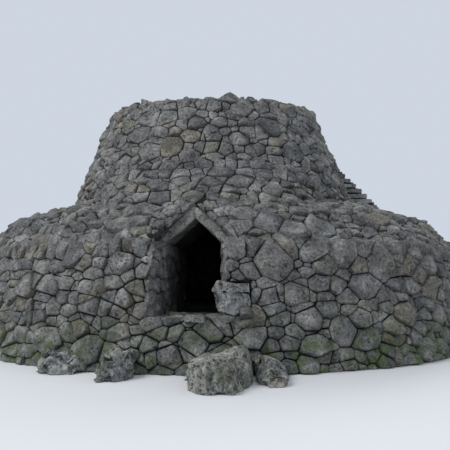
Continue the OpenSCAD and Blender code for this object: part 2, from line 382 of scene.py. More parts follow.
def trimmed(poly, limits, o, t, u):
    """An outline in the t, u axes at o, cut to half spaces."""
    for m, d in limits:
        if len(poly) < 3:
            break
        poly = clip(poly, float(np.dot(m, t)), float(np.dot(m, u)), d - float(np.dot(m, o)))
    return poly


def area_of(poly):
    p = np.array(poly)
    return 0.5 * abs(np.dot(p[:, 0], np.roll(p[:, 1], -1)) - np.dot(p[:, 1], np.roll(p[:, 0], -1)))


def lay(pile, seeds, place, planes, gap=0.007, stretch=1.15, relief=0.3, least=0.045, most=0.14,
        turn=None, rough=1.0, big=0.05):
    """Lays stones on a surface.

    A seed is (a, s, size), and may have its weight after them. place(a, s) gives the point o, the axes
    t across, u up and n outwards, the metres per unit of a and, where it isn't 1, of s. planes(o) gives
    half spaces as (normal, distance), or None where no stone lies. Stones are stretch times flatter than
    round, and stand out by relief times their size, between least and most. On a round wall, a comes back
    after turn.
    """
    spots = np.array([seed[:3] for seed in seeds])
    weights = np.array([weight(seed, big) for seed in seeds])
    order = np.argsort(spots[:, 1])
    spots, weights = spots[order], weights[order]
    for i, (a, s, size) in enumerate(spots):
        o, t, u, n, metres, *metres_up = place(a, s)
        limits = planes(o)
        if limits is None:
            continue
        low, high = np.searchsorted(spots[:, 1], [s - REACH * size, s + REACH * size])
        da = spots[low:high, 0] - a
        if turn:
            da = (da + turn / 2) % turn - turn / 2
        dy = (spots[low:high, 1] - s) * stretch * (metres_up[0] if metres_up else 1.0)
        poly = cell(da * metres, dy, weights[i] - weights[low:high], size, gap)
        poly = trimmed([(x, y / stretch) for x, y in poly], limits, o, t, u)
        if len(poly) < 3:
            continue
        area = area_of(poly)
        if area < LEAST_AREA:
            continue
        width = area / max(math.dist(p, q) for p in poly for q in poly)
        if width < LEAST_WIDTH:
            continue
        height = at(relief, o) * math.sqrt(area) * rng.uniform(0.75, 1.25)
        stone(pile, poly, o, t, u, n, min(max(height, least), most, 0.8 * width), rough)


COURSE = 0.8


def rows(s, end, size, radius, drop=0.07):
    """Seeds round a full turn in loose courses from s to end; a share drop of them is left out."""
    seeds = []
    while s < end:
        width = at(size, s)
        count = max(8, int(FULL_TURN * at(radius, s) / width))
        start = rng.random()
        for k in range(count):
            if rng.random() < drop:
                continue
            a = (k + start + rng.uniform(-0.3, 0.3)) / count * FULL_TURN
            seeds.append((a, s + rng.uniform(-0.3, 0.3) * width * COURSE, width))
        s += width * COURSE
    return seeds


def field(left, right, height, size):
    """Seeds in loose courses on a flat field, from s = 0 up to height."""
    seeds = []
    s = size * 0.3
    while s < height:
        x = left + rng.uniform(0.1, 0.6) * size
        while x < right:
            a = x + rng.uniform(-0.28, 0.28) * size
            seeds.append((a, s + rng.uniform(-0.28, 0.28) * size * 0.7, size))
            x += size
        s += size * COURSE
    return seeds


def thinned(seeds, keep):
    """Fewer and so larger stones round the back."""
    return [seed for seed in seeds if math.sin(seed[0]) < 0.1 or rng.random() < keep]


def with_large(seeds, a, s, size, radius):
    """Seeds with one large stone set among them."""
    def distance(seed):
        turn = (seed[0] - a + math.pi) % FULL_TURN - math.pi
        return math.hypot(turn * radius, seed[1] - s)

    return [seed for seed in seeds if distance(seed) > 0.62 * size] + [(a, s, 0.3, 0.3 * size * size)]


# Limits: each returns half spaces (normal, distance) for a stone at o, or None where no stone lies.
# A stone is left out where its seed lies deeper than TOO_DEEP inside what the planes keep free.
TOO_DEEP = {"door": 0.35, "block": 0.4, "mouth": 0.45, "tier": 0.25}


def below(z):
    return UP, z


def above(z):
    return DOWN, -z


def far_from_door(o, half_width, back, top=math.inf):
    """Whether a point is beside, behind or above the field before the doorway."""
    return abs(o[0]) > half_width or o[1] > back or o[2] > top


def door_planes(o):
    """Keeps stones of the front faces clear of the doorway and its slabs."""
    if far_from_door(o, half_width=1.3, back=-2.6, top=3.1):
        return []
    x, y, z = o
    side = 1.0 if x >= 0 else -1.0
    x = abs(x)
    c, s = SLOPE_C, SLOPE_S
    sides = [(x * s + (z - RIDGE_Z) * c, np.array([-side * s, 0, -c]), -RIDGE_Z * c)]
    if z < SPRING - 0.05:
        sides.append((x - DOOR_HALF, np.array([-side, 0, 0]), -DOOR_HALF))
    else:
        end_x, end_z = DOOR_HALF + SLAB_BEARING * c, SPRING - SLAB_BEARING * s
        past_end = (x - end_x) * c - (z - end_z) * s
        sides.append((past_end, np.array([-side * c, 0, s]), -(end_x * c - end_z * s)))
    far, m, d = max(sides, key=lambda q: q[0])
    return None if far < -TOO_DEEP["door"] else [(m, d - 0.004)]


def side_plane(x0, y0, x1, y1, sign):
    """Half space beside an upright plane through two points in plan; sign picks the side."""
    way = np.array([x1 - x0, y1 - y0, 0.0])
    way /= np.linalg.norm(way)
    m = np.array([way[1], -way[0], 0.0]) * sign
    return m, float(m @ np.array([x0, y0, 0.0]))


MOUTH_LEFT = side_plane(-DOOR_HALF, -DOOR_FACE, -DOOR_HALF - SPLAY_LEFT, -DOOR_FACE - MOUTH_DEPTH, -1.0)
MOUTH_RIGHT = side_plane(DOOR_HALF, -DOOR_FACE, DOOR_HALF + SPLAY_RIGHT, -DOOR_FACE - MOUTH_DEPTH, 1.0)


def mouth_planes(o):
    """Keeps stones of the lower tier out of the doorway's mouth."""
    if far_from_door(o, half_width=1.7, back=-3.0):
        return []
    x, y, z = o
    sill_half = 0.65
    under_sill = [below(SILL + 0.03)]
    if z < SILL:
        return under_sill if abs(x) < sill_half else []
    if z > SPRING - 0.02:
        return door_planes(o)
    m, d = MOUTH_LEFT if x < 0 else MOUTH_RIGHT
    inside = float(m @ np.array(o)) - d
    if inside > 0.04 and z < SILL + 0.25:
        return under_sill
    return None if inside > TOO_DEEP["mouth"] else [(m, d + (0.025 if x < 0 else 0.0))]


def block_planes(o):
    """Keeps stones of the front wall clear of the block at the right jamb."""
    x, y, z = o
    if y > BLOCK_Y or x < BLOCK_X0 - 0.3 or x > BLOCK_X1 + 0.6 or z > BLOCK_Z + 0.6:
        return []
    sides = [(x - BLOCK_X1, np.array([-1.0, 0, 0]), -BLOCK_X1),
             (z - BLOCK_Z, *above(BLOCK_Z)),
             (SILL - z, *below(SILL + (0.07 if x > BLOCK_X0 else 0.0)))]
    far, m, d = max(sides, key=lambda q: q[0])
    return None if far < -TOO_DEEP["block"] else [(m, d - 0.01)]


def wall_planes(o):
    """Limits of the lower wall: mouth and block, ground and crest."""
    mouth, block = mouth_planes(o), block_planes(o)
    if mouth is None or block is None:
        return None
    return mouth + block + [above(0.0), below(CREST_Z + 0.07)]


def terrace_planes(o):
    """Limits of the terrace: upper wall, stair, mouth and crest."""
    x, y, z = o
    r = math.hypot(x, y)
    if r < wall_r(math.atan2(y, x), z) - 0.12:
        return None
    if tread_at(o) is not None and r < cone_r(z) + STAIR_W - 0.1:
        return None
    mouth = mouth_planes(o)
    return None if mouth is None else mouth + [above(CREST_Z - 0.02)]


def cone_planes(o):
    """Limits of the upper wall: terrace, rim, stair and doorway."""
    x, y, z = o
    if z < terrace_z(tier_rho(o)) - 0.1 or z > rim_z(y) + (0.3 if y > 0 else 0.15):
        return None
    tread = tread_at(o)
    if tread is not None and z < tread_z(tread) + 0.03:
        return None
    door = door_planes(o)
    if door is None:
        return None
    m = rim_normal(y)
    return door + [(m, float(m @ np.array([0, 0, HEAD_Z])) + (CROWN_H if y > 0 else 0.02))]


def flank_planes(o):
    """Limits of the stair's flank: terrace, the tread above, and the stair's end."""
    tread = tread_at(o)
    if tread is None or o[2] < terrace_z(tier_rho(o)) - 0.08:
        return None
    top = tread_z(tread) - TREAD_T
    return None if o[2] > top else [below(top + 0.02), (np.array([-END_S, END_C, 0]), 0.04)]


def end_planes(o):
    """Limits of the stair's upright end face."""
    top = tread_z(TREADS - 1) - TREAD_T
    r = math.hypot(o[0], o[1])
    inner, outer = cone_r(o[2]) - 0.12, cone_r(o[2]) + STAIR_W + 0.12
    if o[2] > top + 0.1 or o[2] < 2.95 or r > outer or r < inner:
        return None
    length = math.hypot(1, BATTER)
    face = np.array([END_C, END_S, BATTER]) / length
    return [below(top), (face, (cone_r(0) + STAIR_W) / length + 0.05)]


def under_tier(o, margin=0.02):
    """Half spaces under the faces of the lower tier."""
    rho = tier_rho(o)
    limits = []
    for (r0, z0), (r1, z1) in zip(PROFILE, PROFILE[1:]):
        length = math.hypot(r0 - r1, z1 - z0)
        up, out = (r0 - r1) / length, (z1 - z0) / length
        m = np.array([(o[0] - TIER_X) / rho * out, (o[1] - TIER_Y) / rho * out, up])
        limits.append((m, out * r0 + up * z0 + float(m @ np.array([TIER_X, TIER_Y, 0.0])) + margin))
    return limits


def near_terrace(o):
    """Limits of all that lies in the doorway's mouth."""
    limits = under_tier(o)
    if any(float(m @ o) > d + TOO_DEEP["tier"] for m, d in limits):
        return None
    return limits + [above(SILL)]


def reveal_planes(o):
    """Limits of the mouth's left side, up to the slabs."""
    limits = near_terrace(o)
    return None if limits is None else limits + [below(SPRING - 0.01), (BACKWARDS, 0.01 - DOOR_FACE)]


def reveal_by_block(o):
    """Limits of the mouth's right side, which leaves the block free."""
    limits = reveal_planes(o)
    if limits is not None and o[1] < BLOCK_Y + 0.02 and o[2] < BLOCK_Z + 0.03:
        return None
    return limits


def hood_planes(o):
    """Limits of the stones along the slabs' upper edges."""
    limits = near_terrace(o)
    return None if limits is None or o[2] > terrace_z(tier_rho(o)) - 0.04 else limits


def passage_planes(o):
    """Limits of the passage's walls."""
    return [below(SPRING - 0.01), above(SILL), (BACKWARDS, 0.03 - PASSAGE_END), (FORWARDS, DOOR_FACE)]


def shelf_planes(o):
    """Limits of the shelf before the threshold: the two sides of the mouth."""
    if tier_rho(o) > FOOT_R - 0.17 or o[1] > -4.0:
        return None
    sides = (MOUTH_LEFT, MOUTH_RIGHT)
    if any(float(m @ o) < d - 0.1 for m, d in sides):
        return None
    return [(-m, -d) for m, d in sides]


def crown_planes(o):
    """Keeps stones of the crown within the upper wall's face."""
    return [(np.array([o[0], o[1], 0.0]) / math.hypot(o[0], o[1]), cone_r(o[2]) + 0.02)]


# Surfaces: each gives for (a, s) the point, the axes t across, u up and n outwards, and metres per unit
def wall_r(a, z):
    """Radius of the upper wall's face, which over the doorway runs out to the edge of the tier below."""
    side = abs(wrapped(math.degrees(a) + 90.0))
    w = fade(FLARE_EDGE - side, 0.0, FLARE_BLEND)
    r = cone_r(z) + w * w * (3 - 2 * w) * FLARE_OUT * max(FLARE_Z - z, 0.0)
    return min(r, FLARE_Y / math.cos(math.radians(side))) if side < FLARE_FLAT else r


def on_cone(a, z):
    """The upper wall; its axes come from the points close beside and above."""
    step = 0.01
    o, beside, higher = [around(wall_r(a + i, z + j), a + i, z + j)
                         for i, j in ((0, 0), (step, 0), (0, step))]
    t = (beside - o) / np.linalg.norm(beside - o)
    u = higher - o
    u -= (u @ t) * t
    length = np.linalg.norm(u)
    return o, t, u / length, np.cross(t, u / length), wall_r(a, z), length / step


def on_flank(a, z):
    """The outer face of the stair."""
    r = cone_r(z) + STAIR_W
    _, t, u, n, *_ = on_cone(a, z)
    return around(r, a, z), t, u, n, r


def on_wall(a, z):
    """The lower tier's wall, up to its crest."""
    lean = (FOOT_R - CREST_R) / CREST_Z
    r = FOOT_R - lean * z
    length = math.hypot(1, lean)
    c, s = math.cos(a), math.sin(a)
    u = np.array([-lean * c / length, -lean * s / length, 1 / length])
    n = np.array([c / length, s / length, lean / length])
    return around(r, a, z, TIER_X, TIER_Y), sideways(a), u, n, r


CREST, SHOULDER, TERRACE = PROFILE[1:]
LOWER_SLOPE = math.dist(CREST, SHOULDER)
UPPER_SLOPE = math.dist(SHOULDER, TERRACE)


def on_terrace(a, s):
    """The two slopes above the crest and the terrace, with s up the slope from the crest."""
    if s <= LOWER_SLOPE:
        (r0, z0), (r1, z1), length = CREST, SHOULDER, LOWER_SLOPE
    elif s <= LOWER_SLOPE + UPPER_SLOPE:
        (r0, z0), (r1, z1), length = SHOULDER, TERRACE, UPPER_SLOPE
        s = s - LOWER_SLOPE
    else:
        (r0, z0), (r1, z1), length = TERRACE, (TERRACE_R - 1, TERRACE_Z + 0.001), 1.0
        s = s - LOWER_SLOPE - UPPER_SLOPE
    r, z = r0 + (r1 - r0) * (s / length), z0 + (z1 - z0) * (s / length)
    dr, dz = (r1 - r0) / length, (z1 - z0) / length
    cos_a, sin_a = math.cos(a), math.sin(a)
    return (around(r, a, z, TIER_X, TIER_Y), sideways(a), np.array([dr * cos_a, dr * sin_a, dz]),
            np.array([dz * cos_a, dz * sin_a, -dr]), r)


def on_rim(a, s):
    """The top of the upper wall, s metres inwards from its edge."""
    r = rim_r(a) - s
    x, y = r * math.cos(a), r * math.sin(a)
    n = rim_normal(y)
    t = sideways(a)
    t -= (t @ n) * n
    t /= np.linalg.norm(t)
    return np.array([x, y, rim_z(y) + (CROWN_H if y > 0 else 0.0) - 0.02]), t, np.cross(n, t), n, r


def flat(origin, t, u):
    """A plane through origin, with a in metres along t and s along u."""
    origin, t, u = [np.array(v, float) for v in (origin, t, u)]
    t /= np.linalg.norm(t)
    u /= np.linalg.norm(u)
    n = np.cross(t, u)

    def place(a, s):
        return origin + a * t + s * u, t, u, n, 1.0
    return place


# Materials
BLACK = (0.0, 0.0, 0.0)
WHITE = (1.0, 1.0, 1.0)


def grey(value):
    return (value, value, value)


class Look:
    """A material and the nodes that give its colour and relief."""

    def __init__(self, name, roughness):
        self.material = bpy.data.materials.new(name)
        self.material.use_nodes = True
        self.tree = self.material.node_tree
        self.shader = self.tree.nodes["Principled BSDF"]
        self.shader.inputs["Roughness"].default_value = roughness
        self.place = self.node("TexCoord").outputs["Object"]

    def node(self, kind, **inputs):
        """A node of a kind, with its inputs set."""
        node = self.tree.nodes.new("ShaderNode" + kind)
        for name, value in inputs.items():
            self.give(node.inputs[name.replace("_", " ")], value)
        return node

    def give(self, socket, value):
        """Gives a socket a number, a colour or another node's output."""
        if isinstance(value, (int, float)):
            socket.default_value = value
        elif isinstance(value, tuple):
            socket.default_value = (*value, 1)
        else:
            self.tree.links.new(value, socket)

    def noise(self, scale, detail=6.0, rough=0.6, part="Fac"):
        node = self.node("TexNoise", Scale=scale, Detail=detail, Roughness=rough, Vector=self.place)
        return node.outputs[part]

    def ramp(self, value, stops):
        """The colour that stops, as (position, colour), give for a value."""
        node = self.node("ValToRGB", Fac=value)
        elements = node.color_ramp.elements
        while len(elements) < len(stops):
            elements.new(0.5)
        for element, (position, colour) in zip(elements, stops):
            element.position = position
            element.color = (*colour, 1)
        return node.outputs["Color"]

    def mix(self, kind, share, a, b):
        node = self.node("Mix")
        node.data_type = "RGBA"
        node.blend_type = kind
        for socket, value in ((0, share), (6, a), (7, b)):
            self.give(node.inputs[socket], value)
        return node.outputs[2]

    def times(self, a, b):
        node = self.node("Math")
        node.operation = "MULTIPLY"
        self.give(node.inputs[0], a)
        self.give(node.inputs[1], b)
        return node.outputs[0]

    def bump(self, height, strength, distance, under=None, sunk=False):
        """A relief over the relief under."""
        node = self.node("Bump", Strength=strength, Distance=distance, Height=height)
        node.invert = sunk
        if under:
            self.give(node.inputs["Normal"], under)
        return node.outputs["Normal"]

    def finish(self, colour, normal):
        self.give(self.shader.inputs["Base Color"], colour)
        self.give(self.shader.inputs["Normal"], normal)
        return self.material


# brightness of one stone beside another, the last two towards ochre
STONE_TONES = [(0.0, (0.62, 0.64, 0.66)), (0.3, grey(0.9)), (0.6, (1.05, 1.04, 1.0)),
               (0.85, (1.15, 1.14, 1.12)), (0.93, (1.05, 0.95, 0.78)), (1.0, (0.92, 0.9, 0.72))]
OCHRE = (0.36, 0.33, 0.25)
MOSS = (0.07, 0.11, 0.03)


def pits(look, pitted):
    """Where the stone is pitted: small bent cells, in patches."""
    bent = look.node("VectorMath")
    bent.operation = "MULTIPLY_ADD"
    look.give(bent.inputs[0], look.noise(13.0, 4, 0.6, "Color"))
    bent.inputs[1].default_value = grey(0.16)
    look.give(bent.inputs[2], look.place)
    cells = look.node("TexVoronoi", Scale=17.0, Vector=bent.outputs[0]).outputs["Distance"]
    holes = look.ramp(cells, [(0.16 + 0.1 * pitted, WHITE), (0.34 + 0.08 * pitted, BLACK)])
    patches = look.ramp(look.noise(7.0, 3, 0.6),
                        [(0.42 - 0.08 * pitted, BLACK), (0.54 - 0.08 * pitted, WHITE)])
    return look.mix("MULTIPLY", 1.0, holes, patches)


def mossy(look, colour, amount):
    """Moss in patches, more of it near the ground."""
    height = look.node("SeparateXYZ", Vector=look.place).outputs["Z"]
    low = look.node("MapRange", From_Min=1.0, From_Max=0.1, Value=height).outputs["Result"]
    patches = look.ramp(look.noise(4.5, 5, 0.65), [(0.45, BLACK), (0.62, WHITE)])
    return look.mix("MIX", look.times(look.times(low, patches), amount), colour, MOSS)


def limestone(name, base, dark, light, moss=0.0, tint=0.35, pitted=0.0):
    """Weathered limestone, with lichen, ochre stains, pits, dark blotches and moss."""
    look = Look(name, 0.93)
    look.shader.inputs["Specular IOR Level"].default_value = 0.15
    colour = look.ramp(look.noise(3.2, 5), [(0.3, dark), (0.5, base), (0.72, light)])
    island = look.node("NewGeometry").outputs["Random Per Island"]
    colour = look.mix("MULTIPLY", 0.85, colour, look.ramp(island, STONE_TONES))
    lichen = look.noise(11.0, 8, 0.7)
    patches = look.ramp(lichen, [(0.5, BLACK), (0.64, WHITE)])
    colour = look.mix("MIX", look.mix("MULTIPLY", 1.0, patches, grey(tint)), colour, light)
    stain = look.ramp(look.noise(1.7, 4, 0.55), [(0.58, BLACK), (0.75, grey(0.35))])
    colour = look.mix("MIX", stain, colour, OCHRE)
    pit = pits(look, pitted)
    pit_colour = tuple(0.28 * c for c in dark)
    colour = look.mix("MIX", look.mix("MULTIPLY", 1.0, pit, grey(0.75)), colour, pit_colour)
    grain = look.noise(24.0, 8, 0.78)
    blotches = look.ramp(grain, [(0.36, (0.3, 0.3, 0.32)), (0.5, grey(0.95)), (0.64, (1.35, 1.34, 1.3))])
    colour = look.mix("MULTIPLY", 0.9, colour, blotches)
    if moss:
        colour = mossy(look, colour, moss)
    normal = look.bump(lichen, 0.8, 0.05)
    normal = look.bump(pit, 0.7, 0.03, normal, sunk=True)
    return look.finish(colour, look.bump(grain, 0.6, 0.02, normal))


def dull(name, base, other):
    """Dark joint filling or packed earth, in two mottled tones."""
    look = Look(name, 0.97)
    grain = look.noise(9.0, 8.0, 0.5)
    return look.finish(look.ramp(grain, [(0.35, base), (0.65, other)]), look.bump(grain, 0.6, 0.03))


WALL_STONE = limestone("limestone", (0.17, 0.168, 0.163), grey(0.085), (0.34, 0.338, 0.33), moss=0.9)
# The slab limestone is lighter than the wall limestone: painted light on the faces of the slabs, threshold,
# caps and treads.
LIT_SLAB_STONE = limestone("painted_light_slab_limestone", (0.27, 0.265, 0.255), (0.14, 0.14, 0.137), (0.46, 0.455, 0.44))
ROCK_STONE = limestone("foot_limestone", (0.25, 0.25, 0.245), (0.11, 0.112, 0.113), (0.5, 0.505, 0.5),
                       moss=0.35, tint=0.6, pitted=1.0)
# The inner limestone is the wall limestone made much darker: painted shade for the passage, the chamber,
# its shell and the inner slabs.
SHADED_INNER_STONE = limestone("painted_shade_inner_limestone", (0.1, 0.1, 0.098), grey(0.055), (0.17, 0.17, 0.16))
JOINT = dull("dark_joint", grey(0.002), (0.009, 0.009, 0.008))
EARTH = dull("packed_earth", (0.13, 0.115, 0.085), (0.22, 0.2, 0.155))


def look_of(node):
    """The material of a solid; most show only as the dark joints between the stones on them."""
    # the shell takes the darkened inner limestone, painted shade; slabs, threshold, caps and treads take
    # the lighter slab limestone, painted light
    if node.startswith("shell"):
        return SHADED_INNER_STONE
    if node.startswith(("gable", "threshold", "cap", "stair_treads")):
        return LIT_SLAB_STONE
    if node in ("roof_cover", "chamber_floor"):
        return EARTH
    return ROCK_STONE if node.startswith(("foot_rock", "right_jamb")) else JOINT


for node_name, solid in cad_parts.items():
    solid.data.materials.clear()
    solid.data.materials.append(look_of(node_name))


# Pieces
# Large stones of the front wall: distance from the door axis, height, width
BIG_STONES = [(1.3, 1.62, 0.5), (0.95, 0.55, 0.36), (2.45, 1.78, 0.45), (3.1, 1.6, 0.4), (2.75, 1.25, 0.42),
              (2.1, 1.6, 0.36), (2.3, 0.6, 0.42), (3.4, 0.8, 0.42), (-2.2, 0.4, 0.46), (-3.4, 0.45, 0.42),
              (-1.5, 0.3, 0.46), (4.1, 1.2, 0.42), (-4.2, 0.9, 0.4), (-2.9, 1.25, 0.4), (-2.0, 1.75, 0.36)]
BIG_STONES_R = 5.95
# Large stones of the slopes above it: distance from the door axis, distance up the slope, width
SLOPE_STONES = [(-0.04, LOWER_SLOPE + 0.42, 0.3), (0.8, 0.32, 0.3), (1.2, 0.45, 0.42), (2.1, 0.35, 0.45),
                (-1.3, 0.4, 0.36)]


def front_angle(x, r):
    """The angle round the lower tier at which its front face has a given x."""
    return math.asin((x - TIER_X) / r) - math.pi / 2


def lower_wall():
    pile = Halves()
    seeds = thinned(rows(0.05, CREST_Z + 0.02, size=0.22, radius=6.0, drop=0.1), keep=0.7)
    for x, z, size in BIG_STONES:
        seeds = with_large(seeds, front_angle(x, BIG_STONES_R), z, size, BIG_STONES_R)
    lay(pile, seeds, on_wall, wall_planes, turn=FULL_TURN, stretch=1.3, relief=0.36, most=0.15, big=0.12)
    pile.build("lower_wall_stones", WALL_STONE, "wall_stone")


def terrace():
    """Stones of the slopes and the terrace, which lie lower and wider towards the upper wall."""
    def size(s):
        return 0.232 if s < LOWER_SLOPE + 1.0 else 0.31

    def radius(s):
        return on_terrace(0, s)[4]

    def relief(o):
        return 0.15 + 0.21 * fade(tier_rho(o), 4.2, 1.3)

    pile = Halves()
    seeds = thinned(rows(0.05, LOWER_SLOPE + UPPER_SLOPE + 1.95, size, radius), keep=0.75)
    for x, s, width in SLOPE_STONES:
        seeds = with_large(seeds, front_angle(x, radius(s)), s, width, radius(s))
    lay(pile, seeds, on_terrace, terrace_planes, turn=FULL_TURN, least=0.03, relief=relief)
    pile.build("terrace_stones", WALL_STONE, "wall_stone")


def upper_wall():
    def size(z):
        return 0.225 + 0.025 * fade(z, 2.9, 1.0)

    pile = Pile()
    seeds = rows(2.25, HEAD_Z + 0.3, size, cone_r)
    lay(pile, seeds, on_cone, cone_planes, gap=0.01, turn=FULL_TURN, relief=0.28, least=0.035, most=0.09)
    pile.build("upper_wall_stones", WALL_STONE, "wall_stone")


def doorway_packing():
    """The closed packing behind the stones over the doorway: a front and a back sheet, and a rim."""
    columns, lines = 45, 14
    half = columns * lines
    first_angle, turn = -134, 88
    lowest, top_z, fall = 2.5, FLARE_Z + 0.02, 0.9
    points = []
    for depth in (0.004, 0.3):
        for i in range(columns):
            a = math.radians(first_angle + turn * i / (columns - 1))
            low = max(lowest, RIDGE_Z + 0.01 - fall * abs(DOOR_FACE * math.cos(a)))
            for j in range(lines):
                z = low + (top_z - low) * j / (lines - 1)
                points.append(around(wall_r(a, z) - depth, a, z))
    faces = []
    for i in range(columns - 1):
        for j in range(lines - 1):
            k = i * lines + j
            faces.append((k, k + lines, k + lines + 1, k + 1))
            faces.append((k + half, k + half + 1, k + half + lines + 1, k + half + lines))
    number = np.arange(half).reshape(columns, lines)
    rim = [*number[:, 0], *number[-1, 1:], *number[-2::-1, -1], *number[0, -2:0:-1]]
    for p, q in zip(rim, rim[1:] + rim[:1]):
        faces.append((p, p + half, q + half, q))
    pile = Pile()
    pile.add(np.array(points), np.array(faces))
    pile.build("doorway_packing", JOINT, "wall_stone", smooth=False)


def stair_flank():
    """The outer face under the treads, and the upright face at the stair's end."""
    pile = Pile()
    seeds = rows(2.7, 5.4, size=0.25, radius=lambda z: cone_r(z) + STAIR_W)
    lay(pile, seeds, on_flank, flank_planes, turn=FULL_TURN)
    end_r, end_z = 4.25, 2.9
    end_face = flat((end_r * END_C, end_r * END_S, end_z), (-END_C, -END_S, 0), UP)
    lay(pile, field(-0.2, 2.2, height=2.6, size=0.24), end_face, end_planes)
    pile.build("stair_flank_stones", WALL_STONE, "wall_stone")


def doorway_reveals():
    """The two sides of the mouth, and the stones along the slabs' upper edges."""
    pile = Pile()
    left_corner = (-DOOR_HALF - SPLAY_LEFT / MOUTH_DEPTH, -DOOR_FACE - 1, SILL)
    left = flat(left_corner, (SPLAY_LEFT, MOUTH_DEPTH, 0), UP)
    lay(pile, field(0, 1.02, height=1.75, size=0.28), left, reveal_planes, most=0.07)
    right = flat((DOOR_HALF + 0.008, -DOOR_FACE, SILL), (SPLAY_RIGHT, -MOUTH_DEPTH, 0), UP)
    seeds = field(0, 1.3, height=1.75, size=0.28)
    lay(pile, seeds, right, reveal_by_block, least=0.035, most=0.045, rough=0.6)
    foot_x, y = DOOR_HALF + 0.25, -DOOR_FACE + 0.02
    left_slab = flat((-foot_x, y, RIDGE_Z - foot_x * SLOPE_S / SLOPE_C), (SLOPE_C, 0, SLOPE_S), FORWARDS)
    right_slab = flat((0, y, RIDGE_Z), (SLOPE_C, 0, -SLOPE_S), FORWARDS)
    for slab in (left_slab, right_slab):
        lay(pile, field(0, 0.95, height=0.95, size=0.22), slab, hood_planes, least=0.02, most=0.035)
    pile.build("doorway_reveal_stones", WALL_STONE, "wall_stone")


def passage_walls():
    pile = Pile()
    left = flat((-DOOR_HALF, -DOOR_FACE, SILL), BACKWARDS, UP)
    right = flat((DOOR_HALF, -PASSAGE_END, SILL), FORWARDS, UP)
    for side in (left, right):
        seeds = field(0, 2.1, height=1.3, size=0.3)
        lay(pile, seeds, side, passage_planes, least=0.035, most=0.05, rough=0.8)
    # the passage walls take the inner limestone, darkened as painted shade
    pile.build("passage_wall_stones", SHADED_INNER_STONE, "inner_stone")


def vault_r(z):
    """Radius of the chamber at a height."""
    return ROOM_R if z <= VAULT_Z else EYE_R + (ROOM_R - EYE_R) * (1 - ((z - VAULT_Z) / VAULT_H) ** 1.7)


def chamber():
    """The courses of the chamber and of its corbelled vault, open at the passage."""
    pile = Pile()
    wall_course, vault_course = 0.24, 0.275
    width = 0.34
    courses = [(SILL + wall_course * i, wall_course, ROOM_R) for i in range(3)]
    for i in range(12):
        r = vault_r(VAULT_Z + vault_course * (i + 0.5))
        courses.append((VAULT_Z + vault_course * i, vault_course, r))
    for z0, depth, r in courses:
        joints = [0.0]
        for _ in range(max(5, int(FULL_TURN * r / width)) - 1):
            joints.append(joints[-1] + rng.uniform(0.6, 1.4))
        total = joints[-1] + 1.0
        joints = [joint / total * FULL_TURN for joint in joints] + [FULL_TURN]
        for a0, a1 in zip(joints, joints[1:]):
            a = (a0 + a1) / 2 + z0 * 2.3
            c, s = math.cos(a), math.sin(a)
            # the passage is open, and higher up its slabs take more room
            slabs = 0.15 if z0 > 1.8 else 0
            if z0 < 2.7 and s < 0 and abs(r * c) < DOOR_HALF + 0.12 + slabs:
                continue
            w, h = (a1 - a0) * r / 2 - 0.006, depth / 2 - 0.005
            j = [rng.uniform(-0.012, 0.012) for _ in range(8)]
            poly = [(-w + j[0], -h), (0, -h + j[1] * 0.4), (w + j[2], -h),
                    (w + j[3], h), (j[4], h + j[5] * 0.4), (-w + j[6], h)]
            inwards = np.array([-c, -s, 0.0])
            middle = around(r, a, z0 + depth / 2)
            stone(pile, poly, middle, -sideways(a), UP, inwards, height=0.035, rough=0.6)
    # the chamber takes the inner limestone, darkened as painted shade
    pile.build("chamber_stones", SHADED_INNER_STONE, "inner_stone")


# Rough bodies that stand for plain solids
def solid_mesh(node, cell_size, smoothing, split, side):
    """A solid's mesh in world axes, cut at the plane split, with edges up to cell_size, and smoothed."""
    bm = bmesh.new()
    bm.from_mesh(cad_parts[node].data)
    bmesh.ops.transform(bm, matrix=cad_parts[node].matrix_world, verts=bm.verts)
    bmesh.ops.remove_doubles(bm, verts=bm.verts, dist=0.0005)
    if side:
        point, normal = Vector(split[0]), Vector(split[1])
        bmesh.ops.bisect_plane(bm, geom=bm.verts[:] + bm.edges[:] + bm.faces[:], clear_inner=True,
                               plane_co=point - normal * 0.006 * side, plane_no=normal * side)
        bmesh.ops.holes_fill(bm, edges=[edge for edge in bm.edges if edge.is_boundary])
    for _ in range(8):
        long = [edge for edge in bm.edges if edge.calc_length() > cell_size]
        if not long:
            break
        bmesh.ops.subdivide_edges(bm, edges=long, cuts=1)
        bmesh.ops.triangulate(bm, faces=bm.faces)
    for _ in range(smoothing):
        bmesh.ops.smooth_vert(bm, verts=bm.verts, factor=0.5,
                              use_axis_x=True, use_axis_y=True, use_axis_z=True)
    return bm


def chipped(p, cuts, chips, chip):
    """The points p, pressed back to the planes in cuts and to random planes up to chip deep."""
    for point, normal in cuts:
        m = np.array(normal) / np.linalg.norm(normal)
        p = p - np.maximum((p - np.array(point)) @ m, 0)[:, None] * m
    for _ in range(chips):
        m = np.array([rng.gauss(0, 1), rng.gauss(0, 1), rng.gauss(0.4, 0.8)])
        m /= np.linalg.norm(m)
        out = p @ m
        p = p - np.maximum(out - (out.max() - rng.uniform(0.4, 1.0) * chip), 0)[:, None] * m
    return p


